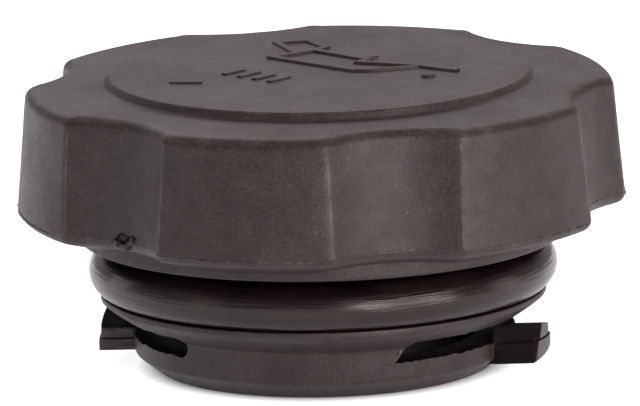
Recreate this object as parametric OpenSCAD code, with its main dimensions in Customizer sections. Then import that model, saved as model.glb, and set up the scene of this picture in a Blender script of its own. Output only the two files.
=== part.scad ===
// Oil filler cap with a six-lobed hand grip, a round rubber seal and a bayonet stub.
// The cap stands on the open end of its stub at Z = 0, with its axis on Z.
// The two bayonet lugs lie along X, each under the middle of a finger scallop.

/* [Grip] */
// Radius over the lobes at the mould parting line
grip_r = 33; // [31.5:0.5:36]
// Height from the parting line to the outer edge of the top
grip_h = 12.7; // [10:0.1:18]
// Lobes round the grip
lobe_count = 6; // [5:1:6]
// Depth of a finger scallop below the lobes
scallop_depth = 2.85; // [1.5:0.05:3.2]
// Radius of the hollow of a finger scallop
scallop_r = 13.9; // [10:0.1:16]
// Draft of the side walls in degrees
wall_draft = 5.1; // [1:0.1:8]
// Rounding of the upper edge
shoulder_r = 1.3; // [0.5:0.1:2.5]
// Rise of the top from its outer edge to the foot of the disc
top_rise = 0.4; // [0.1:0.1:1]

/* [Raised disc] */
// Radius at the foot of the disc
disc_r = 23.2; // [15:0.1:26]
// Height of the disc above the top around it
disc_h = 0.9; // [0.4:0.1:2]
// Rounding of the rim of the disc
disc_edge_r = 0.4; // [0.1:0.1:0.4]
// Fillet at the foot of the disc
disc_foot_r = 0.4; // [0.1:0.1:0.6]

/* [Symbol on the disc] */
// Height of the raised lines
symbol_h = 0.3; // [0.1:0.05:0.5]
// Width of the raised lines
symbol_w = 0.8; // [0.5:0.1:1.2]
// Length of the base line of the oil can
symbol_size = 11.8; // [8:0.1:12]
// Turn of the symbol in degrees
symbol_turn = -27.7; // [-180:0.1:180]

/* [Underside] */
// Depth of the flat base below the parting line
under_h = 3.8; // [3:0.1:6]
// Height of the upright lip between the parting line and the slope of the underside
under_lip_h = 0.9; // [0.6:0.1:1.4]
// Rounding between that lip and the slope
under_edge_r = 1.2; // [0.3:0.1:1.3]
// Radius of the flat round base under the grip
base_r = 26.5; // [26:0.1:28]
// Height of the upright wall of that base
base_h = 0.9; // [0.5:0.1:1.2]

/* [Seal and groove] */
// Radius of the neck inside the rubber ring
neck_r = 20; // [19.5:0.1:20.2]
// Thickness of the round rubber ring
seal_d = 5.3; // [4.5:0.1:5.6]
// Clearance between the ring and the neck and seat
seal_gap = 0.1; // [0.05:0.05:0.2]
// Depth of the round seat of the ring below the lip of the flange
seat_h = 0.3; // [0.2:0.1:0.6]
// Free height left above the ring
groove_play = 0.95; // [0.3:0.05:2]

/* [Flange] */
// Radius of the flange that carries the ring
flange_r = 24.3; // [24.1:0.1:25.2]
// Thickness of the flange at its edge
flange_edge_h = 0.6; // [0.4:0.1:2]
// Height of the cone under the flange
flange_cone_h = 2.4; // [1.5:0.1:4]

/* [Stub] */
// Radius of the stub under the flange
stub_r = 20.8; // [20.4:0.1:21.5]
// Length of the stub below the cone of the flange
stub_h = 5.45; // [5.3:0.05:12]
// Taper of the stub in degrees
stub_draft = 4; // [0:0.5:6]
// Width of the lead-in at the open end
lead_in_w = 2.5; // [0.5:0.1:2.6]
// Height of the lead-in
lead_in_h = 1.95; // [0.5:0.05:2.2]
// Rounding between the lead-in and the rim
lead_in_r = 1.2; // [0.4:0.1:1.3]
// Radius of the bore at the open end
bore_r = 17; // [14:0.1:17.2]
// Draft of the bore in degrees
bore_draft = 0.5; // [0:0.1:2]
// Thickness of the roof over the bore, without the disc
roof_h = 3.4; // [2:0.1:6]

/* [Stiffening ribs] */
// Thickness of a rib in the bore
rib_w = 1.6; // [1:0.1:3]
// Reach of a rib along the roof
rib_reach = 7; // [3:0.1:12]
// Depth of a rib down the wall
rib_drop = 6; // [3:0.1:12]

/* [Bayonet lugs] */
// Radius over the lugs
lug_r = 24.5; // [23:0.1:26]
// Thickness of a lug
lug_h = 2.3; // [1.5:0.05:2.6]
// Height of the underside of a lug above the open end
lug_z = 1.7; // [1.5:0.05:2.6]
// Where a lug starts, in degrees before the middle of its scallop
lug_lead = 12.5; // [8:0.5:20]
// Where a lug ends, in degrees past the middle of its scallop
lug_tail = 14.5; // [8:0.5:20]
// Run of the ramp on the leading end of a lug
lug_ramp = 4; // [1:0.1:5]
// Blunt height of the leading end, below the ramp
lug_nose = 0.3; // [0.2:0.05:0.8]
// Set-back of the upper half of a lug
lug_step = 0.25; // [0.1:0.05:0.6]

/* [Windows] */
// Height of a window in the wall of the stub
window_h = 2.1; // [1:0.1:2.3]
// Depth of the sill of a window below the top of its lug
window_sill = 0.05; // [0.05:0.05:0.3]
// Where a window starts, in degrees before the middle of its scallop
window_lead = 53.5; // [30:0.5:60]
// Where a window ends, in degrees past the middle of its scallop
window_tail = 60; // [30:0.5:65]
// Lean of the starting end of a window in degrees of turn
window_lean = 5; // [0:0.5:10]

/* [Hidden] */
$fn = 180;

// Heights, from the open end up
flange_z = stub_h + flange_cone_h;
lip_z = flange_z + flange_edge_h;
seal_z = lip_z - seat_h + seal_gap + seal_d / 2;
under_z = seal_z + seal_d / 2 + groove_play;
parting_z = under_z + under_h;
edge_z = parting_z + grip_h;
top_z = edge_z + top_rise;
disc_z = top_z + disc_h;
roof_z = top_z - roof_h;

// Radii that follow from the drafts and the ring
edge_r = grip_r - grip_h * tan(wall_draft);
seal_mid_r = neck_r + seal_gap + seal_d / 2;
stub_low_r = stub_r - (stub_h - lead_in_h) * tan(stub_draft);
bore_top_r = bore_r - roof_z * tan(bore_draft);

// Rounding of the lip of the flange, and of the foot of the base under the grip
lip_round = 0.1;
base_round = 0.2;

// Lower left corner of the oil can, and its lines for a base line 1 long
symbol_corner = [-6.6, 5.25];
can_lines = [
    [[0.8, 0.31], [0.78, 0.45], [0.09, 0.47], [0, 0], [1, 0], [1.15, 0.12], [1.37, 0.52], [0.8, 0.31]],
    [[1.37, 0.52], [1.75, 0.57]],
    [[0.09, 0.47], [0.08, 0.64], [-0.26, 0.77], [-0.43, 0.53], [0.04, 0.28]],
    [[0.69, 0.46], [0.73, 0.58]]
];
drop_place = [1.71, 0.25];
drop_r = 0.07;

// Part of the thickness of a lug that is in its lower, longer half
lower_part = 0.55;

// Slope of the top between its edge and the disc
top_slope = top_rise / (edge_r - disc_r);

// Slope of the underside of the grip, down to the wall of the base
under_slope = (under_h - base_h - under_lip_h) / (grip_r - base_r);
function slope_z(r) = parting_z - under_lip_h - (grip_r - r) * under_slope;

// Cutters stand past the surfaces that they cut by this much
over = 1;
flare_over = 0.15;
// Upper end of a scallop cutter: how far it flares in shoulder roundings, and how
// far it stays above the slope of the top
rim_flare = 1.2;
rim_lift = 0.02;
// The round end of a window is fuller than the window by this much
end_over = 0.03;
// Segments in one rounded corner of a profile, and in the round seat
round_steps = 5;
seat_steps = 12;

function unit(v) = v / norm(v);

// Points of the arc of radius r that rounds corner b between its neighbours a and c
function corner(a, b, c, r) =
    let (
        u = unit(a - b),
        v = unit(c - b),
        half = acos(u * v) / 2,
        centre = b + unit(u + v) * r / sin(half),
        from = b + u * r / tan(half) - centre,
        to = b + v * r / tan(half) - centre,
        start = atan2(from[1], from[0]),
        turn = atan2(from[0] * to[1] - from[1] * to[0], from * to)
    )
    [for (i = [0:round_steps]) centre + r * [cos(start + turn * i / round_steps),
                                             sin(start + turn * i / round_steps)]];

// A closed outline from [x, y, rounding] entries
function rounded(outline) =
    let (last = len(outline) - 1)
    [for (i = [0:last])
        let (
            a = outline[i == 0 ? last : i - 1],
            b = outline[i],
            c = outline[i == last ? 0 : i + 1]
        )
        each b[2] > 0
            ? corner([a[0], a[1]], [b[0], b[1]], [c[0], c[1]], b[2])
            : [[b[0], b[1]]]];

// Round body of the grip, before the scallops
module grip_blank() {
    inner_r = base_r - flare_over;
    foot_z = under_z + base_h / 2;
    rotate_extrude()
        polygon(rounded([
            [0, foot_z, 0],
            [inner_r, foot_z, 0],
            [inner_r, slope_z(inner_r), 0],
            [grip_r, parting_z - under_lip_h, under_edge_r],
            [grip_r, parting_z, 0],
            [edge_r, edge_z, shoulder_r],
            [disc_r, top_z, disc_foot_r],
            [disc_r - disc_edge_r, disc_z, disc_edge_r],
            [0, disc_z, 0]
        ]));
}

// Cutter of one finger scallop: it widens upwards with the draft of the walls,
// and flares at both ends so that the scallop keeps the rounded edges of the grip
module scallop_cutter() {
    low_z = under_z + base_h - flare_over;
    low_r = scallop_r - under_lip_h * tan(wall_draft);
    flare_r = low_r + (parting_z - under_lip_h - low_z) / under_slope;
    high_r = scallop_r + grip_h * tan(wall_draft);
    rim_r = high_r + rim_flare * shoulder_r;
    high_z = edge_z + top_slope * scallop_depth + rim_lift;
    translate([grip_r - scallop_depth + scallop_r, 0, 0])
        rotate_extrude()
            polygon(rounded([
                [0, low_z, 0],
                [flare_r, low_z, 0],
                [low_r, parting_z - under_lip_h, under_edge_r],
                [high_r, high_z, shoulder_r],
                [rim_r, high_z + top_slope * (rim_r - high_r), 0],
                [rim_r, disc_z + over, 0],
                [0, disc_z + over, 0]
            ]));
}

module grip() {
    difference() {
        grip_blank();
        for (i = [0:lobe_count - 1])
            rotate([0, 0, i * 360 / lobe_count])
                scallop_cutter();
    }
}

// Raised line from point to point of a list, on the disc
module raised_line(points) {
    for (i = [0:len(points) - 2])
        let (step = points[i + 1] - points[i])
            translate([points[i][0], points[i][1], disc_z - over / 2])
                rotate([0, 0, atan2(step[1], step[0])])
                    translate([-symbol_w / 2, -symbol_w / 2, 0])
                        cube([norm(step) + symbol_w, symbol_w, over / 2 + symbol_h]);
}

// Oil can with a drop, the common sign of an oil filler
module symbol() {
    translate([symbol_corner[0], symbol_corner[1], 0])
        rotate([0, 0, symbol_turn]) {
            for (line = can_lines)
                raised_line(line * symbol_size);
            translate([drop_place[0] * symbol_size, drop_place[1] * symbol_size, disc_z - over / 2])
                cylinder(r = drop_r * symbol_size, h = over / 2 + symbol_h);
        }
}

// Base, neck, flange and stub, as one turned outline: the flange has a round seat
// for the ring, and the stub ends in a lead-in
module stem() {
    seat_r = seal_d / 2 + seal_gap;
    seat_end = -asin((seal_z - lip_z) / seat_r);
    rotate_extrude()
        polygon(rounded([
            [0, 0, 0],
            [stub_low_r - lead_in_w, 0, lead_in_r],
            [stub_low_r, lead_in_h, 0],
            [stub_r, stub_h, 0],
            [flange_r, flange_z, 0],
            [flange_r, lip_z, lip_round],
            for (i = [0:seat_steps])
                let (turn = seat_end - (180 + seat_end) * i / seat_steps)
                [seal_mid_r + seat_r * cos(turn), seal_z + seat_r * sin(turn), 0],
            [neck_r, under_z, 0],
            [base_r, under_z, base_round],
            [base_r, parting_z, 0],
            [0, parting_z, 0]
        ]));
}

// A ring sector between two turns, from inside the wall of the stub out to a radius
module ring_sector(from, to, reach, low, height) {
    inner_r = stub_low_r - over;
    rotate([0, 0, from])
        rotate_extrude(angle = to - from)
            translate([inner_r, low])
                square([reach - inner_r, height]);
}

// One bayonet lug: the upper half is set back, and a ramp leads in
module lug() {
    lower_h = lug_h * lower_part;
    step_turn = asin(lug_step / lug_r);
    run = lug_ramp / (lug_h - lug_nose);
    difference() {
        union() {
            ring_sector(-lug_lead, lug_tail, lug_r, lug_z, lower_h);
            ring_sector(-lug_lead, lug_tail - step_turn, lug_r - lug_step,
                        lug_z + lower_h, lug_h - lower_h);
        }
        rotate([0, 0, -lug_lead])
            translate([bore_r, 0, lug_z])
                rotate([90, 0, 90])
                    linear_extrude(lug_r)
                        polygon([
                            [-over, lug_nose - over / run],
                            [lug_ramp + over, lug_h + over / run],
                            [-over, lug_h + over / run]
                        ]);
    }
}

// One window through the wall of the stub, over the sill of its lug: a slot with
// one leaning end and one round end
module window() {
    sill = lug_z + lug_h - window_sill;
    end_r = window_h / 2 + end_over;
    deep = flange_r - bore_r + 2 * over;
    lean_w = stub_r * window_lean * PI / 180;
    round_turn = window_tail - asin(end_r / stub_r);
    square_turn = window_lean - window_lead;
    rotate([0, 0, square_turn])
        rotate_extrude(angle = round_turn - square_turn)
            translate([bore_r - over, sill])
                square([deep, window_h]);
    rotate([0, 0, round_turn])
        translate([bore_r - over, 0, sill + window_h / 2])
            rotate([0, 90, 0])
                cylinder(r = end_r, h = deep);
    rotate([0, 0, square_turn])
        translate([bore_r - over, 0, sill])
            rotate([90, 0, 90])
                linear_extrude(deep)
                    polygon([
                        [-lean_w, 0],
                        [over / 2, 0],
                        [over / 2, window_h],
                        [0, window_h]
                    ]);
}

// Hollow of the stub and grip
module bore() {
    translate([0, 0, -over])
        cylinder(r = bore_r, h = over);
    cylinder(r1 = bore_r, r2 = bore_top_r, h = roof_z);
}

// Gusset between the roof and the wall of the bore
module rib() {
    rotate([90, 0, 0])
        translate([0, 0, -rib_w / 2])
            linear_extrude(rib_w)
                polygon([
                    [bore_r - rib_reach, roof_z + over],
                    [bore_r - rib_reach, roof_z - rib_w],
                    [bore_r - rib_w, roof_z - rib_drop],
                    [bore_r + over, roof_z - rib_drop],
                    [bore_r + over, roof_z + over]
                ]);
}

module cap_body() {
    color("#3b3737")
        union() {
            difference() {
                union() {
                    grip();
                    symbol();
                    stem();
                    for (side = [0, 180])
                        rotate([0, 0, side])
                            lug();
                }
                bore();
                for (side = [0, 180])
                    rotate([0, 0, side])
                        window();
            }
            for (i = [0:lobe_count - 1])
                rotate([0, 0, (i + 0.5) * 360 / lobe_count])
                    rib();
        }
}

module seal_ring() {
    color("#1b1819")
        translate([0, 0, seal_z])
            rotate_extrude()
                translate([seal_mid_r, 0])
                    circle(seal_d / 2);
}

cap_body();
seal_ring();
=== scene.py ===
import math

import bpy
import numpy as np
from mathutils import Matrix, Vector


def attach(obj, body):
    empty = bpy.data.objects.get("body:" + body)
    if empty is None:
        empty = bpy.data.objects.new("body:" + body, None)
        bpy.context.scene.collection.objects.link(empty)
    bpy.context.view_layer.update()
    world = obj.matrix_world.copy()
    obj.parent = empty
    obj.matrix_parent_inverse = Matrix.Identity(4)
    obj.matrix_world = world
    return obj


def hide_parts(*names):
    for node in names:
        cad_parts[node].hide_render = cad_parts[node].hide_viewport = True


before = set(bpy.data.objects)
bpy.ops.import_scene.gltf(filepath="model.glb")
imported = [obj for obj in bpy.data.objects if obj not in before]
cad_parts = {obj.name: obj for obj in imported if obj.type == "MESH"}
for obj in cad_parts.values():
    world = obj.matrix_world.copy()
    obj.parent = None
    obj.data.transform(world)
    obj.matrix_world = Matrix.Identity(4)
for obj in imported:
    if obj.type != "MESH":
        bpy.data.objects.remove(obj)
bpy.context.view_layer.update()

mm = 0.001


# numbers, noise and meshes

def linearColour(hexText, alpha=1.0):
    # sRGB hex to linear: the standard curve, a straight foot and a 2.4 power
    parts = [int(hexText[i:i + 2], 16) / 255 for i in (1, 3, 5)]
    return [c / 12.92 if c <= 0.04045 else ((c + 0.055) / 1.055) ** 2.4 for c in parts] + [alpha]


def between(first, last, share):
    # the number, point or row that lies a share of the way from first to last
    return first * (1 - share) + last * share


def latticeNoise(u, v, wrap, seed):
    # random heights on whole-number points, eased between them; u repeats after wrap steps; from -1 to 1
    table = np.random.default_rng(seed).random((wrap, 64)) * 2 - 1
    iu, iv = np.floor(u).astype(int), np.floor(v).astype(int)
    fu, fv = u - iu, v - iv
    fu, fv = fu * fu * (3 - 2 * fu), fv * fv * (3 - 2 * fv)

    def at(i, j):
        return table[i % wrap, j % 64]

    low, high = (between(at(iu, j), at(iu + 1, j), fu) for j in (iv, iv + 1))
    return between(low, high, fv)


def circle(steps):
    # turns spread evenly round the whole circle, without its end
    return np.linspace(0, 2 * math.pi, steps, endpoint=False)


def roundNoise(turn, steps, seed, v=0):
    # the same noise round the whole axis, in a number of steps, so that its end meets its start
    return latticeNoise(turn / (2 * math.pi) * steps, turn * 0 + v, steps, seed)


def spun(x, y, z, angle):
    # points turned by one angle round the axis
    c, s = math.cos(angle), math.sin(angle)
    return np.stack([x * c - y * s, x * s + y * c, z], axis=-1)


def cornerPoints(before, corner, after, radius, steps):
    # the arc that rounds a corner between its two neighbours, touching both sides
    before, corner, after = (np.array(p, float) for p in (before, corner, after))
    u = (before - corner) / np.linalg.norm(before - corner)
    v = (after - corner) / np.linalg.norm(after - corner)
    half = math.acos(np.clip(u @ v, -1, 1)) / 2
    centre = corner + (u + v) / np.linalg.norm(u + v) * radius / math.sin(half)
    start, end = corner + u * radius / math.tan(half) - centre, corner + v * radius / math.tan(half) - centre
    first = math.atan2(start[1], start[0])
    turn = math.atan2(start[0] * end[1] - start[1] * end[0], start @ end)
    angles = first + turn * np.linspace(0, 1, steps + 1)
    return centre + radius * np.stack([np.cos(angles), np.sin(angles)], axis=1)


def smoothShade(mesh, sharpAngle):
    # smooth faces, with hard edges where two of them meet at more than the angle
    mesh.polygons.foreach_set("use_smooth", np.ones(len(mesh.polygons), dtype=bool))
    mesh.set_sharp_from_angle(angle=math.radians(sharpAngle))


def meshObject(name, points, faces, wearAndHighlight=0.0, shadeAndGrime=0.0, sharpAngle=40):
    # a mesh object at the origin from points in mm; its pale mark (rubbed edges and painted highlights) and
    # its dark mark (painted shade and dirt) are from 0 to 1, one number or one a point
    mesh = bpy.data.meshes.new(name)
    mesh.from_pydata((np.asarray(points) * mm).tolist(), [], faces)
    for key, values in (("wearAndHighlight", wearAndHighlight), ("shadeAndGrime", shadeAndGrime)):
        values = np.broadcast_to(np.asarray(values, dtype=np.float32), len(points))
        mesh.attributes.new(key, "FLOAT", "POINT").data.foreach_set("value", np.ascontiguousarray(values))
    mesh.update()
    made = bpy.data.objects.new(name, mesh)
    bpy.context.scene.collection.objects.link(made)
    smoothShade(mesh, sharpAngle)
    return made


def gridFaces(rows, columns, closeRows=False, start=0):
    # quads of a grid whose columns close on themselves, row after row
    r = np.arange(rows if closeRows else rows - 1)[:, None]
    c = np.arange(columns)[None, :]
    below, above, nextColumn = r * columns, (r + 1) % rows * columns, (c + 1) % columns
    quads = np.stack([below + c, below + nextColumn, above + nextColumn, above + c], axis=-1)
    return (quads.reshape(-1, 4) + start).tolist()


def tubeFaces(rows, count, flipped=False):
    # a grid whose rows go round, with a flat face at both ends; flipped turns every face over
    last = count * (rows - 1)
    faces = gridFaces(rows, count) + [list(range(count))[::-1], list(range(last, last + count))]
    return [face[::-1] for face in faces] if flipped else faces


def turnedGrid(radius, angle, height):
    # points at a radius and an angle round the axis, and at a height
    return np.stack([radius * np.cos(angle), radius * np.sin(angle), height], axis=-1)


def ridingPiece(made, material):
    # gives a finished object its material and body
    made.data.materials.clear()
    made.data.materials.append(material)
    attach(made, "root")
    return made


# materials

def newMaterial(name):
    # an empty material and its tree of nodes
    material = bpy.data.materials.new(name)
    material.use_nodes = True
    material.node_tree.nodes.clear()
    return material, material.node_tree


def addNode(tree, kind, settings=None, links=None):
    # a node with settings, by the names of its sockets or properties, and links, each a node and its output
    added = tree.nodes.new("ShaderNode" + kind)
    for key, value in (settings or {}).items():
        if isinstance(key, int) or key in added.inputs:
            added.inputs[key].default_value = value
        else:
            setattr(added, key, value)
    for key, (source, output) in (links or {}).items():
        tree.links.new(source.outputs[output], added.inputs[key])
    return added


def colourSteps(tree, source, output, stops):
    # a colour ramp through stops, each a place from 0 to 1 and a hex or linear colour
    ramp = addNode(tree, "ValToRGB", {}, {"Fac": (source, output)})
    elements = ramp.color_ramp.elements
    while len(elements) < len(stops):
        elements.new(0.5)
    for element, (place, colour) in zip(elements, stops):
        element.position = place
        element.color = colour if not isinstance(colour, str) else linearColour(colour)
    return ramp


nylonLook = {
    "colour": "#302424",        # black glass-filled nylon that has gone brown and grey in use
    "darkGrain": "#261c1c",
    "paleGrain": "#3a2e2d",
    # pale, for rubbed edges and for highlights painted along edges
    "wornAndHighlight": "#6a6260",
    "shadeAndGrime": "#0d0a0a",         # painted shade under and inside the cap and on the lugs, with oily dirt where no hand reaches
    "roughness": 0.47,
    "grainSize": 0.30,          # mm, spark-eroded mould texture
    "mottleSize": 2.4,          # mm
    "patchSize": 11.0,          # mm, rubbed and dull patches
    "grainDepth": 0.065,        # mm
    "mottleDepth": 0.05,        # mm
    "speckSpacing": 1.5,        # mm
}


def mouldedNylon(name, look):
    # glass-filled nylon 6, injection moulded: a dull spark-eroded grain, pale where edges are rubbed and
    # where highlights are painted, and dark where shade is painted
    material, tree = newMaterial(name)
    place = addNode(tree, "TexCoord")

    def noise(size, detail, roughness=0.55):
        # soft noise with features of a size in mm
        settings = {"Scale": 1 / (size * mm), "Detail": detail, "Roughness": roughness}
        return addNode(tree, "TexNoise", settings, {"Vector": (place, "Object")})

    def attribute(key):
        return addNode(tree, "Attribute", {"attribute_name": key})

    def rescale(source, output, low, high, toLow, toHigh):
        # stretches low to high onto toLow to toHigh, and stops at both ends
        settings = {"From Min": low, "From Max": high, "To Min": toLow, "To Max": toHigh}
        return addNode(tree, "MapRange", settings, {"Value": (source, output)})

    def combine(operation, first, second):
        return addNode(tree, "Math", {"operation": operation}, {0: first, 1: second})

    def blend(factor, first, second, settings=None):
        # mixes two colours by a factor, which is a link or stands in the settings
        return addNode(tree, "Mix", {"data_type": "RGBA", **(settings or {})},
                       {**({0: factor} if factor else {}), 6: first, 7: second})

    def plain(hexText):
        swatch = addNode(tree, "RGB")
        swatch.outputs[0].default_value = linearColour(hexText)
        return swatch

    grain = noise(look["grainSize"], 2.0)
    mottle = noise(look["mottleSize"], 4.0, 0.6)
    patch = noise(look["patchSize"], 3.0)
    specks = addNode(tree, "TexVoronoi", {"Scale": 1 / (look["speckSpacing"] * mm), "Randomness": 1.0},
                     {"Vector": (place, "Object")})
    grainTint = colourSteps(tree, grain, "Fac",
                            [(0.36, look["darkGrain"]), (0.50, look["colour"]), (0.66, look["paleGrain"])])
    mottleTint = colourSteps(tree, mottle, "Fac", [(0.30, "#dcdada"), (0.70, "#ffffff")])
    tinted = blend(None, (grainTint, "Color"), (mottleTint, "Color"), {"blend_type": "MULTIPLY", 0: 1.0})

    # rubbed edges and painted highlights, where the pale attribute and the mottle are both high, and single
    # pale specks
    rubbedAndHighlit = combine("MULTIPLY", (attribute("wearAndHighlight"), "Fac"), (mottle, "Fac"))
    rubbedAndHighlitStep = rescale(rubbedAndHighlit, "Value", 0.28, 0.62, 0.0, 0.5)
    speckDots = rescale(specks, "Distance", 0.13, 0.07, 0.0, 0.5)
    speckField = rescale(patch, "Fac", 0.5, 0.6, 0.0, 1.0)
    speckStep = combine("MULTIPLY", (speckDots, "Result"), (speckField, "Result"))
    wornAndHighlight = combine("MAXIMUM", (rubbedAndHighlitStep, "Result"), (speckStep, "Value"))
    paler = blend((wornAndHighlight, "Value"), (tinted, 2), (plain(look["wornAndHighlight"]), "Color"))
    # painted shade, with some dirt: the dark attribute, broken up by the mottle, turns the colour near black
    patchy = rescale(mottle, "Fac", 0.2, 0.5, 0.7, 1.0)
    patchyShadeAndGrime = combine("MULTIPLY", (attribute("shadeAndGrime"), "Fac"), (patchy, "Result"))
    shadeAndGrime = rescale(patchyShadeAndGrime, "Value", 0.0, 1.0, 0.0, 0.9)
    colour = blend((shadeAndGrime, "Result"), (paler, 2), (plain(look["shadeAndGrime"]), "Color"))

    # roughness from the grain, the patches and the painted shade with its dirt, and less shine there, which
    # darkens it further
    grainRough = rescale(grain, "Fac", 0.25, 0.75, -0.11, 0.11)
    patchRough = rescale(patch, "Fac", 0.30, 0.70, look["roughness"] - 0.06, look["roughness"] + 0.06)
    clean = combine("ADD", (grainRough, "Result"), (patchRough, "Result"))
    dull = rescale(shadeAndGrime, "Result", 0.0, 1.0, 0.0, 0.4)
    rough = combine("ADD", (clean, "Value"), (dull, "Result"))
    cleanShine = rescale(mottle, "Fac", 0.25, 0.75, 0.43, 0.59)
    lost = rescale(shadeAndGrime, "Result", 0.0, 1.0, 1.0, 0.1)
    shine = combine("MULTIPLY", (cleanShine, "Result"), (lost, "Result"))
    fine = addNode(tree, "Bump", {"Strength": 0.8, "Distance": look["grainDepth"] * mm},
                   {"Height": (grain, "Fac")})
    coarse = addNode(tree, "Bump", {"Strength": 0.4, "Distance": look["mottleDepth"] * mm},
                     {"Height": (mottle, "Fac"), "Normal": (fine, "Normal")})
    shader = addNode(tree, "BsdfPrincipled", {"IOR": 1.53},
                     {"Base Color": (colour, 2), "Roughness": (rough, "Value"),
                      "Specular IOR Level": (shine, "Value"), "Normal": (coarse, "Normal")})
    addNode(tree, "OutputMaterial", {}, {"Surface": (shader, "BSDF")})
    return material


rubberLook = {
    "colour": "#160f0f",
    "bloom": "#2a1f1f",         # pale bloom that old rubber gets
    "roughness": 0.12,
    "bloomSize": 5.0,           # mm
    "streakLength": 6.0,        # mm, fine lines round the ring from the mould and from turning in its seat
    "streakWidth": 0.28,        # mm
    "streakDepth": 0.09,        # mm
    "skinSize": 0.5,            # mm, the dull skin that the mould leaves
    "skinDepth": 0.015,         # mm
}


def oldRubber(name, look):
    # nitrile rubber, compression moulded: smooth and slightly shiny, with fine lines along the ring
    material, tree = newMaterial(name)
    place = addNode(tree, "TexCoord")
    bloom = addNode(tree, "TexNoise", {"Scale": 1 / (look["bloomSize"] * mm), "Detail": 5.0},
                    {"Vector": (place, "Object")})
    flat = addNode(tree, "Mapping", {"Scale": (1, 1, look["streakLength"] / look["streakWidth"])},
                   {"Vector": (place, "Object")})
    streak = addNode(tree, "TexNoise",
                     {"Scale": 1 / (look["streakLength"] * mm), "Detail": 3.0, "Roughness": 0.6},
                     {"Vector": (flat, "Vector")})
    tint = colourSteps(tree, bloom, "Fac", [(0.35, look["colour"]), (0.75, look["bloom"])])
    rough = addNode(tree, "MapRange",
                    {"From Min": 0.3, "From Max": 0.7, "To Min": look["roughness"] - 0.04,
                     "To Max": look["roughness"] + 0.12}, {"Value": (streak, "Fac")})
    skin = addNode(tree, "TexNoise", {"Scale": 1 / (look["skinSize"] * mm), "Detail": 2.0},
                   {"Vector": (place, "Object")})
    bump = addNode(tree, "Bump", {"Strength": 0.2, "Distance": look["skinDepth"] * mm},
                   {"Height": (skin, "Fac")})
    lines = addNode(tree, "Bump", {"Strength": 0.8, "Distance": look["streakDepth"] * mm},
                    {"Height": (streak, "Fac"), "Normal": (bump, "Normal")})
    shader = addNode(tree, "BsdfPrincipled", {"IOR": 1.52, "Specular Tint": linearColour("#fff7f6")},
                     {"Base Color": (tint, "Color"), "Roughness": (rough, "Result"),
                      "Normal": (lines, "Normal")})
    addNode(tree, "OutputMaterial", {}, {"Surface": (shader, "BSDF")})
    return material


# the cap's moulding

# lengths in mm, heights from the open end of the stub
cap = {
    "lobes": 6,
    "gripRadius": 33.0,         # at the parting line
    "gripHeight": 12.7,
    "draft": 5.1,               # degrees
    "scallopDepth": 2.85,
    "scallopRadius": 13.9,
    "ridgeBlend": 0.55,         # softness of the edge between lobe and scallop
    "shoulder": 1.3,
    "topRise": 0.4,
    "discRadius": 23.2,
    "discHeight": 0.9,
    "discEdge": 0.4,
    "discFoot": 0.4,
    "partingZ": 18.3,
    "lipHeight": 0.9,
    "lipRound": 1.2,
    "baseRadius": 26.5,
    "baseWall": 0.9,
    "baseZ": 14.5,
    "neckRadius": 20.0,
    "sealZ": 10.9,
    "seatRadius": 2.75,
    "flangeRadius": 24.3,
    "lipZ": 8.45,
    "coneZ": 7.85,
    "stubRadius": 20.8,
    "stubZ": 5.45,
    "stubLowRadius": 20.555,
    "leadInZ": 1.95,
    "rimRadius": 18.055,
    "rimRound": 1.2,
    "boreRadius": 17.0,
    "boreTopRadius": 16.756,
    "roofZ": 28.0,
    "edgeWearAndHighlight": 0.6,            # how pale the disc's edge and the shoulder are, 0 to 1: rubbed, and a painted highlight
    "inset": 0.12,              # the walls stay this much inside their size, for the flash and the unevenness
    "wave": 0.035,              # the slow unevenness of a used moulding
    "ripple": 0.012,            # the fine one
}
cap["edgeZ"] = cap["partingZ"] + cap["gripHeight"]
cap["topZ"] = cap["edgeZ"] + cap["topRise"]
cap["discZ"] = cap["topZ"] + cap["discHeight"]
taper = math.tan(math.radians(cap["draft"]))
cap["edgeRadius"] = cap["gripRadius"] - cap["gripHeight"] * taper
scallopCentre = cap["gripRadius"] - cap["scallopDepth"] + cap["scallopRadius"]
topSlope = cap["topRise"] / (cap["edgeRadius"] - cap["discRadius"])
underSlope = (cap["partingZ"] - cap["baseZ"] - cap["baseWall"] - cap["lipHeight"]) / (
    cap["gripRadius"] - cap["baseRadius"])
sector = 2 * math.pi / cap["lobes"]


def ridgeAngle(lobeRadius, hollowRadius):
    # angle from a scallop's middle to where its circle meets the lobe's circle, by the law of cosines
    c = scallopCentre
    return np.arccos((c * c + lobeRadius ** 2 - hollowRadius ** 2) / (2 * c * lobeRadius))


def outline(lobeRadius, hollowRadius, turn):
    # radius of the grip's outline at a turn from a scallop's middle: the smaller of the lobe's circle and the
    # near side of the scallop's circle, blended over ridgeBlend; also gives how much of it is scallop
    across = scallopCentre * np.sin(turn)
    inside = np.clip(hollowRadius ** 2 - across ** 2, 1e-6, None)
    hollow = scallopCentre * np.cos(turn) - np.sqrt(inside)
    hollow = np.where(hollowRadius ** 2 > across ** 2, hollow, scallopCentre * np.cos(turn) + np.abs(across))
    k = cap["ridgeBlend"]
    share = np.clip(0.5 + 0.5 * (lobeRadius - hollow) / k, 0, 1)
    return between(lobeRadius, hollow, share) - k * share * (1 - share), share


def columnTurns(scallopSteps=30, lobeSteps=24):
    # one sector's columns: s from -1 to 1 across the scallop and 1 to 2 over the lobe, closer near the ridges
    across = np.linspace(-1, 1, scallopSteps + 1)[:-1]
    across = np.sin(across * math.pi / 2)
    over = np.linspace(0, 1, lobeSteps + 1)[:-1]
    over = 1 + (1 - np.cos(over * math.pi)) / 2
    return np.concatenate([across, over])


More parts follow.
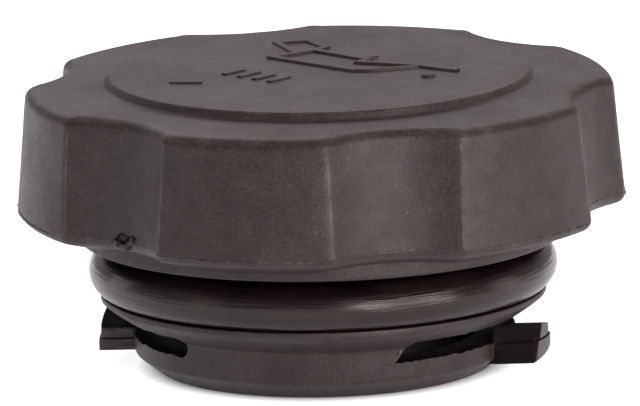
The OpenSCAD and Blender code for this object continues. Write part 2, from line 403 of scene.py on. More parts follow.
def lobedRow(lobe, hollow):
    # one row round the grip from its section's points (radius, height) on a lobe and in a scallop:
    # turns, radii, heights and the share of scallop
    turn, nearest = turnsFor(ridgeAngle(lobe[0], hollow[0]))
    radius, share = outline(lobe[0], hollow[0], nearest)
    return turn, radius, between(lobe[1], hollow[1], share), share


columns = columnTurns()
columnCount = len(columns) * cap["lobes"]


def turnsFor(ridge):
    # columns to turns from the nearest scallop's middle, and to whole turns round the cap
    local = np.where(columns <= 1, columns * ridge, ridge + (columns - 1) * (sector - 2 * ridge))
    turn = np.concatenate([local + k * sector for k in range(cap["lobes"])])
    nearest = (turn + sector / 2) % sector - sector / 2
    return turn, nearest


def addRow(rows, turn, radius, height, wearAndHighlight=0.0, shadeAndGrime=0.0):
    # adds a row, with single numbers spread over the columns
    flat = np.zeros(columnCount)
    rows.append((turn + flat, radius + flat, height + flat, wearAndHighlight + flat, shadeAndGrime + flat))


def topRows(rows):
    # the disc, its rounded edge and foot, the ring of plain top round it, and the shoulder
    discMiddle, discEdge = (0, cap["discZ"]), (cap["discRadius"] - cap["discEdge"], cap["discZ"])
    discFoot, topEdge = (cap["discRadius"], cap["topZ"]), (cap["edgeRadius"], cap["edgeZ"])
    turn = turnsFor(ridgeAngle(cap["edgeRadius"], cap["scallopRadius"] + cap["gripHeight"] * taper))[0]
    for radius in (3, 6, 9, 12, 15, 17.5, 19.5, 21, 22):
        addRow(rows, turn, radius, cap["discZ"])
    # the disc's rounded edge is made pale: rubbed, and a painted highlight
    for r, z in cornerPoints(discMiddle, discEdge, discFoot, cap["discEdge"], 5):
        addRow(rows, turn, r, z, cap["edgeWearAndHighlight"])
    for r, z in cornerPoints(discEdge, discFoot, topEdge, cap["discFoot"], 5):
        addRow(rows, turn, r, z)
    footRadius, footZ = rows[-1][1], rows[-1][2]

    # the shoulder: the lobe's corner and the scallop's corner, point by point
    highHollow = cap["scallopRadius"] + cap["gripHeight"] * taper
    highZ = cap["edgeZ"] + topSlope * cap["scallopDepth"]
    lobeCorner = cornerPoints(discFoot, topEdge, (cap["gripRadius"], cap["partingZ"]), cap["shoulder"], 9)
    hollowCorner = cornerPoints((highHollow + 5, highZ + 5 * topSlope), (highHollow, highZ),
                                (cap["scallopRadius"], cap["partingZ"]), cap["shoulder"], 9)
    shoulderRows = [lobedRow(lobe, hollow)[:3] for lobe, hollow in zip(lobeCorner, hollowCorner)]
    edgeTurn, edgeRadius, edgeHeight = shoulderRows[0]
    for w in np.arange(1, 9) / 9:
        height = between(footZ, edgeHeight, w)
        addRow(rows, between(turn, edgeTurn, w), between(footRadius, edgeRadius, w), height)
    # the shoulder is made pale in its middle: rubbed, and a painted highlight
    for i, row in enumerate(shoulderRows):
        addRow(rows, *row, cap["edgeWearAndHighlight"] * math.sin(math.pi * (i + 0.5) / len(shoulderRows)))
    return lobeCorner[-1], hollowCorner[-1]


def wallRows(rows, lobeTop, hollowTop):
    # the wall, down to the parting line, and the lip below it, which turns in under the grip
    lobeFoot, hollowFoot = (np.array((cap[key], cap["partingZ"])) for key in ("gripRadius", "scallopRadius"))
    for w in np.linspace(0, 1, 25)[1:]:
        lobe, hollow = between(lobeTop, lobeFoot, w), between(hollowTop, hollowFoot, w)
        turn, radius, height, share = lobedRow(lobe, hollow)
        # a pale line along each ridge between lobe and scallop: a painted highlight, with some wear
        ridge = np.exp(-((share - 0.5) / 0.16) ** 2) * 0.9
        addRow(rows, turn, radius, height, 0.1 + ridge)
    lipZ = cap["partingZ"] - cap["lipHeight"]
    lowHollow = cap["scallopRadius"] - cap["lipHeight"] * taper
    underEdge = (cap["baseRadius"], lipZ - underSlope * (cap["gripRadius"] - cap["baseRadius"]))
    lobeLow = cornerPoints(lobeFoot, (cap["gripRadius"], lipZ), underEdge, cap["lipRound"], 7)
    underHollow = (lowHollow + 4, lipZ - 4 * underSlope)
    hollowLow = cornerPoints(hollowFoot, (lowHollow, lipZ), underHollow, cap["lipRound"], 7)
    for lobe, hollow in zip(lobeLow, hollowLow):
        addRow(rows, *lobedRow(lobe, hollow)[:3], 0.35)
    return lobeLow[-1], hollowLow[-1]


def undersideRows(rows, lobeLow, hollowLow):
    # the slope of the underside: the outline shrinks by a depth until it meets the base, found by halving
    lobeR, hollowR = lobeLow[0], hollowLow[0]
    turn, nearest = turnsFor(ridgeAngle(lobeR, hollowR))
    least, most = np.zeros(columnCount), np.full(columnCount, 8.0)
    for step in range(30):
        middle = (least + most) / 2
        outside = outline(lobeR - middle, hollowR + middle, nearest)[0] > cap["baseRadius"]
        least, most = np.where(outside, middle, least), np.where(outside, most, middle)
    for w in np.linspace(0, 1, 9)[1:]:
        radius, share = outline(lobeR - least * w, hollowR + least * w, nearest)
        addRow(rows, turn, radius, between(lobeLow[1], hollowLow[1], share) - underSlope * least * w, 0.1)
    return turn


def turnedProfile():
    # the turned part, from the base to the middle of the roof: points with a mark, which stands for wear and
    # painted highlight over 0 and for painted shade and dirt under 0
    baseEdge, neckTop = (cap["baseRadius"], cap["baseZ"]), (cap["neckRadius"], cap["baseZ"])
    flangeTop, flangeLow = (cap["flangeRadius"], cap["lipZ"]), (cap["flangeRadius"], cap["coneZ"])
    stubTop, stubLow = (cap["stubRadius"], cap["stubZ"]), (cap["stubLowRadius"], cap["leadInZ"])
    rimEdge, boreEdge = (cap["rimRadius"], 0), (cap["boreRadius"], 0)
    turned = []

    def add(mark, points):
        # gives all of these points one mark
        turned.extend((p, mark) for p in points)

    add(0.3, cornerPoints((cap["baseRadius"], cap["partingZ"]), baseEdge, neckTop, 0.25, 4))
    # the underside, the neck and the seat take the dark mark in full: painted shade under the grip
    add(-1, [(r, cap["baseZ"]) for r in (25, 23, 21, cap["neckRadius"])])
    add(-1, [(cap["neckRadius"], z) for z in (13.5, 12.2)])
    a = np.linspace(-math.pi, -math.asin((cap["sealZ"] - cap["lipZ"]) / cap["seatRadius"]), 9)
    seatMiddle = (cap["neckRadius"] + cap["seatRadius"], cap["sealZ"])
    seat = seatMiddle + cap["seatRadius"] * np.stack([np.cos(a), np.sin(a)], axis=1)
    add(-1, seat)
    add(0.5, cornerPoints(seat[-1], flangeTop, flangeLow, 0.15, 3))
    add(0.5, cornerPoints(flangeTop, flangeLow, stubTop, 0.12, 3))
    cone = cornerPoints(flangeLow, stubTop, stubLow, 0.6, 4)
    add(0.05, between(turned[-1][0], cone[0], np.linspace(0, 1, 13)[1:-1, None]))
    add(0.05, cone)
    leadIn = cornerPoints(stubTop, stubLow, rimEdge, 0.5, 3)
    add(0.05, [between(cone[-1], leadIn[0], w) for w in (0.14, 0.28, 0.42, 0.56, 0.7, 0.85)])
    add(0.25, leadIn)
    rim = cornerPoints(stubLow, rimEdge, (0, 0), cap["rimRound"], 6)
    add(0.1, [between(leadIn[-1], rim[0], w) for w in (0.33, 0.66)])
    add(0.3, rim)
    add(0.2, cornerPoints(rimEdge, boreEdge, (cap["boreRadius"], 5), 0.15, 3))
    boreFoot, boreTop = np.array([(cap["boreRadius"], 0.15), (cap["boreTopRadius"], cap["roofZ"])])
    # the bore and the roof take part of the dark mark: painted shade inside the cap
    add(-0.5, between(boreFoot, boreTop, np.linspace(0, 1, 16)[1:-1, None]))
    add(-0.5, cornerPoints(boreFoot, boreTop, (0, cap["roofZ"]), 0.6, 4))
    add(-0.3, [(r, cap["roofZ"]) for r in (13, 9, 5)])
    return turned


def capRows():
    # every row of the moulding's skin, from the middle of the disc round to the middle of the roof:
    # lists of (turn, radius, height, wear with painted highlight, painted shade with grime), each an array
    # over the columns
    rows = []
    lobeTop, hollowTop = topRows(rows)
    lobeLow, hollowLow = wallRows(rows, lobeTop, hollowTop)
    turn = undersideRows(rows, lobeLow, hollowLow)
    baseTop, profile = rows[-1][2], turnedProfile()
    for w in (0.35, 0.7):
        addRow(rows, turn, cap["baseRadius"], between(baseTop, profile[0][0][1], w))
    for (r, z), mark in profile:
        addRow(rows, turn, r, z, max(mark, 0), max(-mark, 0))
    return rows


def capSkin():
    # one closed grid over the rows, with a point at each pole; a slight unevenness as of a used moulding
    rows = capRows()
    turn, radius, height, wearAndHighlight, shadeAndGrime = (np.array([row[i] for row in rows]) for i in range(5))
    wave = roundNoise(turn, 40, 11, height / 5) * cap["wave"]
    ripple = roundNoise(turn, 160, 12, height / 1.4) * cap["ripple"]
    radius = radius + np.where(radius > 23.5, wave + ripple - cap["inset"], ripple * 0.5) * (height > 0.5)
    points = turnedGrid(radius, turn, height).reshape(-1, 3)
    count = len(rows)
    faces = [quad[::-1] for quad in gridFaces(count, columnCount)]
    top, bottom = len(points), len(points) + 1
    points = np.vstack([points, [[0, 0, cap["discZ"]], [0, 0, cap["roofZ"]]]])
    wearAndHighlight, shadeAndGrime = (np.concatenate([values.reshape(-1), [0, 0]]) for values in (wearAndHighlight, shadeAndGrime))
    nextColumn = (np.arange(columnCount) + 1) % columnCount
    last = (count - 1) * columnCount
    faces += [[top, c, int(nextColumn[c])] for c in range(columnCount)]
    faces += [[bottom, last + int(nextColumn[c]), last + c] for c in range(columnCount)]
    return meshObject("capBody", points, faces, wearAndHighlight, shadeAndGrime)


window = {
    "sill": 3.86, "height": 2.40,               # mm
    "lead": -53.5, "tail": 60.0, "lean": 5.0,   # degrees: the slot's ends, and how far the first one leans
    "raggedTop": 0.17, "raggedSill": 0.12,      # mm, the torn edges of the real slots
    "lipBefore": 0.9, "lip": (0.16, 0.26),      # degrees before the first end; mm high, half as wide
}


def raggedLine(along, fineStep, seed):
    # a jagged line from two noises: a slow one, and a fine one that is pushed towards its extremes
    slow = latticeNoise(along * 0.8, along * 0, 128, seed)
    fine = latticeNoise(along / fineStep, along * 0, 512, seed + 1)
    return 0.5 * slow + 0.5 * np.sign(fine) * np.sqrt(np.abs(fine))


def windowCutter(side):
    # a slot in turn and height: full height between its ends, a slanted start and a half-round end
    start, end, lean = (math.radians(window[key]) for key in ("lead", "tail", "lean"))
    half = window["height"] / 2
    bend = half / cap["stubRadius"]
    turn = np.concatenate([np.linspace(start, start + lean, 14),
                           np.linspace(start + lean, end - bend, 320)[1:],
                           end - bend * (1 - np.sin(np.linspace(0, math.pi / 2, 13)[1:]))])
    arc = (turn - start) * cap["stubRadius"]
    endGap = np.clip((end - turn) * cap["stubRadius"], 1e-3, None)
    roundHalf = np.sqrt(np.clip(half ** 2 - (half - endGap) ** 2, 1e-4, None))
    roundDrop = np.where(endGap < half, half - roundHalf, 0)
    leanRise = np.clip(arc / (lean * cap["stubRadius"]), 0.02, 1) * window["height"]
    calm = np.clip(np.minimum(arc, endGap) / 0.8, 0.15, 1)
    low = window["sill"] + roundDrop
    high = window["sill"] + np.minimum(leanRise, window["height"] - roundDrop)
    tornLow = raggedLine(arc, 0.33, 35 + 4 * side) * calm * window["raggedSill"]
    tornHigh = raggedLine(arc, 0.38, 31 + 4 * side) * calm * window["raggedTop"]
    turn = turn + side * math.pi
    # only the outer edge is torn: each row is a radius and the share of the tear there
    depths = [(15.0, 0), (19.6, 0), (20.3, 1), (26.0, 1)]
    loop = [turnedGrid(r + 0 * turn, turn, low + k * tornLow) for r, k in depths]
    loop += [turnedGrid(r + 0 * turn, turn, np.maximum(high + k * tornHigh, low + k * tornLow + 0.02))
             for r, k in depths[::-1]]
    points = np.stack(loop, axis=1).reshape(-1, 3)
    # the cut walls inside the slots take the dark mark in full: painted shade
    return meshObject(f"windowCutter{side}", points, tubeFaces(len(turn), len(loop), True), 0.0, 1.0)


def cutFrom(target, cutters):
    # takes the cutters' space out of the target, and keeps the result as a plain mesh
    for cutter in cutters:
        change = target.modifiers.new("cut", "BOOLEAN")
        change.operation, change.object, change.solver = "DIFFERENCE", cutter, "MANIFOLD"
    graph = bpy.context.evaluated_depsgraph_get()
    mesh = bpy.data.meshes.new_from_object(target.evaluated_get(graph))
    target.modifiers.clear()
    target.data = mesh
    for cutter in cutters:
        bpy.data.objects.remove(cutter)
    smoothShade(mesh, 40)


lug = {
    "radius": 24.5, "low": 1.72, "height": 2.26,
    "split": 1.22, "groove": 0.12, "setBack": 0.22,         # mm, the thin groove, and the block above it
    "inner": 18.6, "upperInner": 20.4, "ragged": 0.2,
    "lead": -12.5, "tail": 14.4,                            # degrees, the ends
    "leadRise": 1.5, "leadDrop": 0.35, "leadFlare": 0.35,   # mm: the leading end is higher, lower, wider
    "leadSlant": (5.5, 1.2),                # degrees that its face leans back outwards, and more a mm up
}


def lugBlock(name, low, high, inner, outer, start, end, seed, flare=0.0):
    # a rounded rectangle in radius and height, carried along the turn; at both ends the rows shrink to the
    # middle, so that the end faces are part of the grid and can be ragged
    edge, spacing, fade = 0.10, 0.28, 0.35  # mm: the rounding, between points, how far in an end is ragged
    root = 20.6                             # the radius where the lug leaves the stub
    corners = np.array([(inner, low), (outer, low), (outer, high), (inner, high)])
    loop = []
    for i in range(4):
        if i in (1, 2):
            loop += list(cornerPoints(corners[i - 1], corners[i], corners[(i + 1) % 4], edge, 3))
        else:
            loop.append(corners[i])
        a, b = loop[-1], corners[(i + 1) % 4]
        steps = max(2, int(np.linalg.norm(b - a) / spacing))
        loop += list(between(a, b, np.linspace(0, 1, steps + 1)[1:-1, None]))
    section = np.array(loop)
    centre = np.array([(inner + outer) / 2, (low + high) / 2])
    # each row's way along the lug in mm, and its size
    along, scale = np.array([(0, 0.1), (0, 0.4), (0, 0.7), (0, 0.93), (0.03, 0.985), (0.1, 1.0)]).T
    length = (end - start) * outer
    middle = np.linspace(0.3, length - 0.3, 40)
    along = np.concatenate([along, middle, length - along[::-1]])
    scale = np.concatenate([scale, np.ones(len(middle)), scale[::-1]])
    loopCount = len(section)
    shape = centre + (section - centre) * scale[:, None, None]
    radius, height = shape[..., 0], shape[..., 1]
    arc = np.tile(along[:, None], (1, loopCount))
    # ragged ends and a nicked outer edge
    jag = latticeNoise(height / 0.42 + seed, radius / 0.6, 256, seed) * lug["ragged"]
    nearEnd = np.exp(-((length - arc) / fade) ** 2) + np.exp(-(arc / fade) ** 2)
    toMiddle = np.where(arc > length / 2, -1, 1)
    arc = arc + toMiddle * nearEnd * (0.5 * lug["ragged"] + 0.5 * jag)
    outside = np.clip((radius - outer + 0.9) / 0.9, 0, 1)
    nick = latticeNoise(arc / 0.5 + 3 * seed, height / 0.5, 256, seed + 1)
    endNick = (0.25 + 0.75 * np.clip(nearEnd, 0, 1)) * lug["ragged"]
    radius = radius - outside * (0.5 + 0.5 * nick) * endNick
    # the outer face is pale, as rubbed and as a painted highlight; the top and the part near the stub are
    # dark, with painted shade
    wearAndHighlight = np.clip((radius - outer + 0.8) / 0.6, 0.05, 1)
    shadeAndGrime = np.clip((height > high - 0.05) + 0.5 * np.clip((23.6 - radius) / 1.5, 0, 1), 0, 1)
    # the tail end is bare and rubbed, the leading face gets painted shade
    tail, front = np.clip(1.7 - (length - arc) / 0.5, 0, 1), np.clip(1.7 - arc / 0.5, 0, 1)
    wearAndHighlight = np.maximum(wearAndHighlight * (1 - front), tail).reshape(-1)
    shadeAndGrime = np.maximum(shadeAndGrime * (1 - tail), 0.95 * front).reshape(-1)
    # the cam: heights stretch towards the leading end, whose face leans back
    left = 1 - arc / length
    spread = lug["leadRise"] + lug["leadDrop"]
    bottom, top = lug["low"], lug["low"] + lug["height"]
    height = height + left * (spread * (height - bottom) / (top - bottom) - lug["leadDrop"])
    radius = radius + flare * left * np.clip((radius - 21) / 3, 0, 1)
    slant, more = lug["leadSlant"]
    outwards = np.clip((radius - root) / (lug["radius"] - root), 0, 1)
    lean = np.radians(slant + more * (height - bottom)) * outwards
    turn = start + arc / outer + lean * left
    points = turnedGrid(radius, turn, height).reshape(-1, 3)
    return meshObject(name, points, tubeFaces(len(along), loopCount, True), wearAndHighlight, shadeAndGrime, 35)


def lugPieces(side):
    # a lower block and an upper one, set back, with a thin groove between them and a core behind it
    start, end = (math.radians(lug[key]) + side * math.pi for key in ("lead", "tail"))
    low, top, seed = lug["low"], lug["low"] + lug["height"], 10 * side
    split, back = low + lug["split"], lug["setBack"] / lug["radius"]
    inside, outside = lug["upperInner"], lug["radius"]
    return [lugBlock(f"lug{side}Lower", low, split, lug["inner"], outside, start, end, 61 + seed),
            lugBlock(f"lug{side}Upper", split + lug["groove"], top, inside, outside - lug["setBack"],
                     start, end - back, 65 + seed, lug["leadFlare"]),
            lugBlock(f"lug{side}Core", low + 0.3, top - 0.3, inside, outside - 0.55,
                     start + 0.45 / outside, end - 0.6 / outside, 69 + seed)]


# ribs under the roof, flash, mould lines and the gate mark

details = {
    "ribWidth": 1.6, "ribReach": 7.0, "ribDrop": 6.0,
    "flashColumns": 1500,
    "flashDrop": 0.3, "flashReach": 0.17,   # mm below the parting line on the lobes, and outwards
    "flashRoot": 0.17,                      # mm inside the wall
    "splitTurns": (-86.7, 93.3),            # degrees, the vertical mould lines on the stub
    "gateTurn": -120.0,                     # degrees, the scallop where the mould was filled
    "gateHalf": (1.9, 1.0), "gateHeight": 0.34,
}


def ribPiece(index):
    # a gusset: a five-cornered section in radius and height, given its width across
    near, top = cap["boreRadius"] - details["ribReach"], cap["roofZ"]
    wall, low = cap["boreRadius"] + 0.3, top - details["ribDrop"]
    section = np.array([(near, top + 0.3), (near, top - details["ribWidth"]),
                        (cap["boreRadius"] - details["ribWidth"], low), (wall, low), (wall, top + 0.3)])
    centre = section.mean(axis=0)
    half = details["ribWidth"] / 2
    sides = np.array([(-half, 0.97), (-half + 0.12, 1.0), (half - 0.12, 1.0), (half, 0.97)])
    shape = centre + (section - centre) * sides[:, 1, None, None]
    x, z = shape[..., 0], shape[..., 1]
    points = spun(x, sides[:, :1] + 0 * x, z, sector * (index + 0.5)).reshape(-1, 3)
    # the ribs under the roof take part of the dark mark: painted shade
    return meshObject(f"rib{index}", points, tubeFaces(len(sides), len(section)), 0.0, 0.4, 30)


def flashFin():
    # the torn rim of plastic at the parting line: a thin ridge that follows the grip's outline and stands
    # out by a jagged amount, and where that is negative it hides in the wall
    count = details["flashColumns"]
    turn = circle(count)
    nearest = (turn + sector / 2) % sector - sector / 2
    root = details["flashRoot"]
    radius, share = outline(cap["gripRadius"] - root, cap["scallopRadius"] + root, nearest)
    slow, fine = roundNoise(turn, 60, 81), roundNoise(turn, 700, 82)
    reach = np.clip(0.08 + 0.10 * slow + 0.09 * fine, -0.06, details["flashReach"])
    drift = roundNoise(turn, 90, 83) * 0.06
    middle = cap["partingZ"] - details["flashDrop"] * (1 - share) + drift
    thick = 0.07 + 0.05 * roundNoise(turn, 300, 84)
    rows = [(-0.3, 0.16 + 0 * thick), (-0.04, 0.02 + thick), (reach, thick),
            (reach, -thick), (-0.04, -0.02 - thick), (-0.3, -0.16 + 0 * thick)]
    points = [turnedGrid(radius + out, turn, middle + lift) for out, lift in rows]
    faces = [q[::-1] for q in gridFaces(len(rows), count, closeRows=True)]
    return meshObject("flashFin", np.concatenate(points), faces, 0.8, 0.0, 30)


def stubLine(name, index, turnDegrees, low=2.2, high=5.3, lean=0.0, lift=0.035, half=0.1):
    # a faint ridge up the stub from low to high, as where the halves of the mould met: it leans by some
    # degrees, and lift and half are its height and half its width in mm
    heights = np.linspace(low, high, 30)
    slope = (cap["stubRadius"] - cap["stubLowRadius"]) / (cap["stubZ"] - cap["leadInZ"])
    radius = cap["stubLowRadius"] + (heights - cap["leadInZ"]) * slope
    lift = lift * np.clip(0.6 + latticeNoise(heights * 3, heights * 0, 64, 91 + index), 0, 1)
    wander = latticeNoise(heights * 1.5, heights * 0, 64, 93 + index) * 0.04
    a = np.radians(turnDegrees + lean * (heights - low) / (high - low))
    rows = [turnedGrid(radius + out, a + (wander + across) / cap["stubRadius"], heights)
            for across, out in ((-half, -0.1), (-0.6 * half, lift), (0.6 * half, lift), (half, -0.1))]
    points = np.stack(rows, axis=1).reshape(-1, 3)
    # pale along its whole length: a painted highlight on the ridge, with some wear
    return meshObject(name, points, tubeFaces(len(heights), len(rows)), 0.9, 0.0, 30)


def gateMark():
    # the broken-off gate where plastic entered the mould: a low mound on the wall with a torn, pitted face,
    # in rings from its middle out, the last one sunk in the wall
    wall, middleZ = cap["gripRadius"] - cap["scallopDepth"], cap["partingZ"] + 0.1
    rings, spokes = 9, 40
    turn = circle(spokes)
    k = np.arange(1, rings + 1)[:, None] / rings
    edge = 1 + 0.35 * roundNoise(turn, 11, 101)
    across = details["gateHalf"][0] * k * np.cos(turn) * edge
    up = details["gateHalf"][1] * k * np.sin(turn) * edge + middleZ
    mound = details["gateHeight"] * (1 - k ** 2)
    bulge = mound + details["gateHeight"] * latticeNoise(across * 2.6 + 20, up * 2.6, 256, 103)
    out = wall - 0.1 + np.where(k < 1, np.maximum(bulge, -0.25), -0.3)
    x, y, z = np.append(wall - 0.1, out), np.append(0, across), np.append(middleZ, up)
    faces = [[0, 1 + j, 1 + (j + 1) % spokes] for j in range(spokes)] + gridFaces(rings, spokes, start=1)
    pit = latticeNoise(y * 1.9 + 40, z * 2.3, 256, 105)
    points = spun(x, y, z, math.radians(details["gateTurn"]))
    return meshObject("gateMark", points, faces, np.clip(pit, 0, 1), np.clip(-pit * 2.2, 0, 1), 25)


print("nylon moulding")
nylon = mouldedNylon("mouldedNylon", nylonLook)
capBody = capSkin()
cutFrom(capBody, [windowCutter(0), windowCutter(1)])
nylonPieces = [capBody] + lugPieces(0) + lugPieces(1) + [ribPiece(index) for index in range(cap["lobes"])]
nylonPieces += [stubLine(f"splitLine{i}", i, turn) for i, turn in enumerate(details["splitTurns"])]
# the raised lip beside each window's leaning end, pale along it: a painted highlight
nylonPieces += [stubLine(f"windowLip{side}", 4 + side, window["lead"] - window["lipBefore"] + 180 * side,
                         window["sill"] - 0.1, 5.4, window["lean"] * 0.64, *window["lip"]) for side in (0, 1)]
for piece in nylonPieces + [flashFin(), gateMark()]:
    ridingPiece(piece, nylon)
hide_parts("cap_body")


# the oil can sign and the other raised marks

sign = {
    "corner": (-6.6, 5.25), "turn": -27.7, "size": 11.8,    # its corner and size in mm, turned by degrees
    "width": 0.8, "height": 0.3,                            # mm, of a raised line
    "drop": (1.71, 0.25), "dropRadius": 0.07,               # in sizes, as signLines is
}
signLines = [
    [(0.8, 0.31), (0.78, 0.45), (0.09, 0.47), (0, 0), (1, 0), (1.15, 0.12), (1.37, 0.52), (0.8, 0.31)],
    [(1.37, 0.52), (1.75, 0.57)],
    [(0.09, 0.47), (0.08, 0.64), (-0.26, 0.77), (-0.43, 0.53), (0.04, 0.28)],
    [(0.69, 0.46), (0.73, 0.58)],
]
# a short dash and four plain strokes, as pairs of ends in mm
otherMarks = [
    [(-13.82, -9.38), (-10.94, -8.90)],
    [(-9.30, -4.00), (-8.10, -1.70)],
    [(-7.35, -5.00), (-6.15, -2.70)],
    [(-5.40, -6.05), (-4.20, -3.75)],
    [(-3.45, -7.05), (-2.25, -4.75)],
]


def raisedLine(name, path, width, height, closed=False):
    # a flat-topped bead: a cross-section carried along the path, mitred at its corners, with closed ends
    path = np.array(path, float)
    if closed:
        path = path[:-1]
    ahead = np.roll(path, -1, axis=0) - path
    ahead /= np.linalg.norm(ahead, axis=1)[:, None]
    behind = np.roll(ahead, 1, axis=0)
    if not closed:
        ahead[-1], behind[0] = behind[-1], ahead[0]
    normalA = np.stack([-ahead[:, 1], ahead[:, 0]], axis=1)
    normalB = np.stack([-behind[:, 1], behind[:, 0]], axis=1)
    mitre = normalA + normalB
    mitre /= np.clip((mitre * normalA).sum(axis=1), 0.5, None)[:, None]
    if not closed:
        path[0] -= ahead[0] * width / 2
        path[-1] += ahead[-1] * width / 2
    section = np.array([(-0.58, -0.3), (-0.54, 0.0), (-0.5, 0.8), (-0.42, 1.0),
                        (0.42, 1.0), (0.5, 0.8), (0.54, 0.0), (0.58, -0.3)])
    side = section[:, 0] * width
    lift = np.where(section[:, 1] < 0, -0.3, section[:, 1] * height)
    xy = path[:, None, :] + mitre[:, None, :] * side[None, :, None]
    heights = np.tile((cap["discZ"] + lift)[None, :, None], (len(path), 1, 1))
    points = np.concatenate([xy, heights], axis=2).reshape(-1, 3)
    count = len(section)
    faces = gridFaces(len(path), count, closeRows=True) if closed else tubeFaces(len(path), count)
    return meshObject(name, points, faces, 0.45, 0.0, 50)


def signDrop(name, middle, radius):
    # a low round boss with a rounded edge, in rings
    turn = circle(36)
    heights = [(1.06, -0.3), (1.0, 0.0), (0.96, 0.75), (0.86, 1.0), (0.4, 1.0)]
    points = [np.stack([middle[0] + radius * k * np.cos(turn), middle[1] + radius * k * np.sin(turn),
                        cap["discZ"] + lift * sign["height"] + 0 * turn], axis=1) for k, lift in heights]
    points = np.vstack(points + [[[middle[0], middle[1], cap["discZ"] + sign["height"]]]])
    last = (len(heights) - 1) * len(turn)
    faces = gridFaces(len(heights), len(turn))
    faces += [[last + j, last + (j + 1) % len(turn), last + len(turn)] for j in range(len(turn))]
    faces += [list(range(len(turn)))[::-1]]
    return meshObject(name, points, faces, 0.45, 0.0, 50)


def signPlace(points):
    # from the sign's own sizes to mm on the disc: scaled, turned and moved to its corner
    p = np.array(points) * sign["size"]
    return spun(p[:, 0], p[:, 1], 0 * p[:, 0], math.radians(sign["turn"]))[:, :2] + sign["corner"]


print("raised marks")
# each line of the sign is a little lower than the last, so that tops that overlap aren't in one plane
marks = [raisedLine(f"signLine{i}", signPlace(line), sign["width"], sign["height"] * (1 - 0.05 * i), i == 0)
         for i, line in enumerate(signLines)]
marks.append(signDrop("signDrop", signPlace([sign["drop"]])[0], sign["dropRadius"] * sign["size"]))
marks += [raisedLine(f"mark{i}", ends, sign["width"] * 0.8, sign["height"] * 0.7)
          for i, ends in enumerate(otherMarks)]
for piece in marks:
    ridingPiece(piece, nylon)


# seal ring

ring = {
    "middle": 22.75, "thickness": 5.3, "height": 10.9,      # mm
    "columns": 300, "rows": 64,
    "splitLine": 0.09,                                      # mm deep
    "lineAt": -0.09, "lineWidth": 0.03,                     # radians round the section
    "gapeTurn": 215, "gapeWidth": 0.6,                      # degrees and radians round the axis
}


def sealRing():
    # a round section carried round the axis, with the fine line of its mould near the outermost point
    turn = circle(ring["columns"])[:, None]
    around = circle(ring["rows"])
    around = (around - 0.35 * np.sin(around))[None, :]
    swell = roundNoise(turn, 14, 51, around * 0) * 0.03
    # the mould line is open as a crack on one stretch, and faint elsewhere
    gape = 0.3 + 0.7 * np.exp(-((turn - math.radians(ring["gapeTurn"])) / ring["gapeWidth"]) ** 2)
    off = around - ring["lineAt"]
    near, far = (np.exp(-(a / ring["lineWidth"]) ** 2) for a in (off, off - 2 * math.pi))
    r = ring["thickness"] / 2 + swell - 0.03 - (near + far) * ring["splitLine"] * gape
    across, up = ring["middle"] + r * np.cos(around), ring["height"] + r * np.sin(around)
    points = turnedGrid(across, turn + 0 * around, up).reshape(-1, 3)
    faces = gridFaces(ring["columns"], ring["rows"], closeRows=True)
    return meshObject("sealRing", points, faces, 0.0, 0.0, 60)


print("seal ring")
rubber = oldRubber("oldRubber", rubberLook)
sealPiece = ridingPiece(sealRing(), rubber)
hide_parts("seal_ring")


# floor, light and camera

studio = {
    "viewTurn": -74.7,          # degrees round the cap where the camera stands
    "viewHeight": 11.892,       # degrees above the floor
    "roll": 1.299,
    "lens": 1000.0,             # mm, a long telephoto
    "sensor": 36.0,             # mm
    "picture": (640, 406),
    "pixelsPerMm": 9.236,
    "axisPixel": (321.48, 196.71),
    "floorColour": "#f4f4f4",
    "floorGlow": 0.88,          # brightness added for the camera
    "floorShine": 0.53,         # and for reflections
    "glowEdge": (17.5, 20.5),   # mm from the axis, where that starts and is full
    "lightColour": "#fff7f6",
    "lampDistance": 500,        # mm
    "lampAim": (0, 0, 16),
    # sine of the height above the floor, brightness
    "sky": [(0.00, 0.42), (0.24, 0.42), (0.31, 0.18), (0.45, 0.25), (0.65, 0.58), (1.00, 0.58)],
}
softboxes = {
    # turn from the camera towards the right and height above the floor in degrees,
    # width and height in mm, watts
    "lowLeft120": (-120, 8, 150, 260, 0.08),
    "lowLeft60": (-60, 8, 150, 260, 0.05),
    "lowRight20": (20, 8, 150, 260, 0.34),
    "lowRight40": (40, 11, 440, 290, 1.33),
    "lowRight60": (60, 8, 150, 260, 0.13),
    "lowRight100": (100, 8, 150, 260, 0.13),
    "highLeft160": (-160, 35, 300, 260, 0.29),
    "highRight160": (160, 35, 300, 260, 0.23),
}


def direction(turnDegrees, riseDegrees):
    # the unit vector at a turn round the axis and a height above the floor
    turn, rise = math.radians(turnDegrees), math.radians(riseDegrees)
    return Vector((math.cos(turn) * math.cos(rise), math.sin(turn) * math.cos(rise), math.sin(rise)))


def viewAxes():
    # the camera's right, up and back, from its turn, its height and its roll
    back, roll = direction(studio["viewTurn"], studio["viewHeight"]), math.radians(studio["roll"])
    right = Vector((0, 0, 1)).cross(back).normalized()
    up = back.cross(right)
    return right * math.cos(roll) - up * math.sin(roll), up * math.cos(roll) + right * math.sin(roll), back


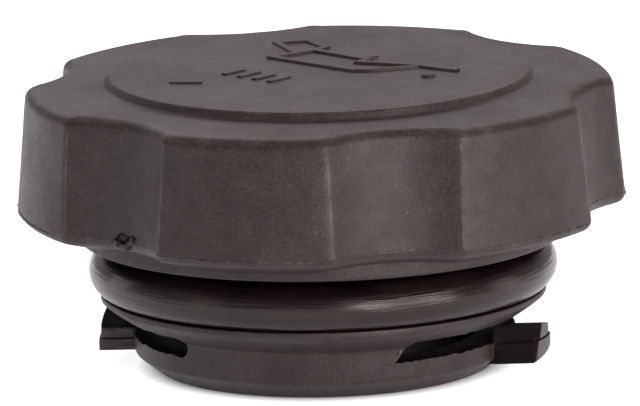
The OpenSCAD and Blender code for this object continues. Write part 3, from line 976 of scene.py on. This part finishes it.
def makeCamera():
    # the distance gives the scale at the axis, and the target puts the axis at axisPixel
    right, up, back = viewAxes()
    data = bpy.data.cameras.new("camera")
    data.lens, data.sensor_width = studio["lens"], studio["sensor"]
    width, height = studio["picture"]
    distance = studio["lens"] / studio["sensor"] * width / studio["pixelsPerMm"]
    x = (studio["axisPixel"][0] - width / 2) / studio["pixelsPerMm"]
    y = (height / 2 - studio["axisPixel"][1]) / studio["pixelsPerMm"]
    target = Vector((0, 0, cap["partingZ"])) - right * x - up * y
    place = (target + back * distance) * mm
    camera = bpy.data.objects.new("camera", data)
    camera.matrix_world = Matrix([[right[i], up[i], back[i], place[i]] for i in range(3)] + [[0, 0, 0, 1]])
    data.clip_start, data.clip_end = 0.1, 10
    bpy.context.scene.collection.objects.link(camera)
    bpy.context.scene.camera = camera


def softbox(name, theta, rise, width, height, power):
    # an area lamp at a turn measured from the camera towards the picture's right, facing the cap
    towards = direction(studio["viewTurn"] + theta, rise)
    data = bpy.data.lights.new(name, "AREA")
    data.shape, data.size, data.size_y, data.energy = "RECTANGLE", width * mm, height * mm, power
    data.color = linearColour(studio["lightColour"])[:3]
    lamp = bpy.data.objects.new(name, data)
    lamp.location = (Vector(studio["lampAim"]) + towards * studio["lampDistance"]) * mm
    lamp.rotation_mode = "QUATERNION"
    lamp.rotation_quaternion = towards.to_track_quat("Z", "Y")
    bpy.context.scene.collection.objects.link(lamp)


def makeFloor():
    # photo paper: a pale sheet that shows white to the camera and keeps a soft shadow at the foot of the cap
    size = 6000
    points = [(-size, -size, 0), (size, -size, 0), (size, size, 0), (-size, size, 0)]
    floor = meshObject("floor", points, [[0, 1, 2, 3]])
    material, tree = newMaterial("photoPaper")
    paths = addNode(tree, "LightPath")
    place = addNode(tree, "TexCoord")
    fromAxis = addNode(tree, "VectorMath", {"operation": "LENGTH"}, {0: (place, "Object")})
    edge = {"From Min": studio["glowEdge"][0] * mm, "From Max": studio["glowEdge"][1] * mm}
    outside = addNode(tree, "MapRange", edge, {"Value": (fromAxis, "Value")})

    def product(ray, brightness):
        # a brightness for one kind of ray
        return addNode(tree, "Math", {"operation": "MULTIPLY", 1: brightness}, {0: (paths, ray)})

    seen = product("Is Camera Ray", studio["floorGlow"])
    mirrored = product("Is Glossy Ray", studio["floorShine"])
    shown = addNode(tree, "Math", {"operation": "ADD"}, {0: (seen, "Value"), 1: (mirrored, "Value")})
    level = addNode(tree, "Math", {"operation": "MULTIPLY"}, {0: (shown, "Value"), 1: (outside, "Result")})
    paper = addNode(tree, "BsdfDiffuse", {"Color": linearColour(studio["floorColour"])})
    glow = addNode(tree, "Emission", {"Color": (1, 1, 1, 1)}, {"Strength": (level, "Value")})
    both = addNode(tree, "AddShader", {}, {0: (paper, "BSDF"), 1: (glow, "Emission")})
    addNode(tree, "OutputMaterial", {}, {"Surface": (both, "Shader")})
    floor.data.materials.append(material)


def makeWorld():
    # white for the camera, and for everything else a sky whose brightness depends on the height
    world = bpy.data.worlds.new("studio")
    bpy.context.scene.world = world
    world.use_nodes = True
    tree = world.node_tree
    tree.nodes.clear()
    paths = addNode(tree, "LightPath")
    place = addNode(tree, "TexCoord")
    parts = addNode(tree, "SeparateXYZ", {}, {"Vector": (place, "Generated")})
    tint = np.array(linearColour(studio["lightColour"]))
    stops = [(rise, tuple(tint[:3] * level) + (1,)) for rise, level in studio["sky"]]
    sky = colourSteps(tree, parts, "Z", stops)
    white = addNode(tree, "Background", {"Color": (1, 1, 1, 1), "Strength": 1.0})
    room = addNode(tree, "Background", {"Strength": 1.0}, {"Color": (sky, "Color")})
    mixed = addNode(tree, "MixShader", {},
                    {0: (paths, "Is Camera Ray"), 1: (room, "Background"), 2: (white, "Background")})
    addNode(tree, "OutputWorld", {}, {"Surface": (mixed, "Shader")})


print("studio")
makeCamera()
makeFloor()
makeWorld()
for lampName, lampValues in softboxes.items():
    softbox(lampName, *lampValues)
bpy.context.scene.view_settings.view_transform = "Standard"
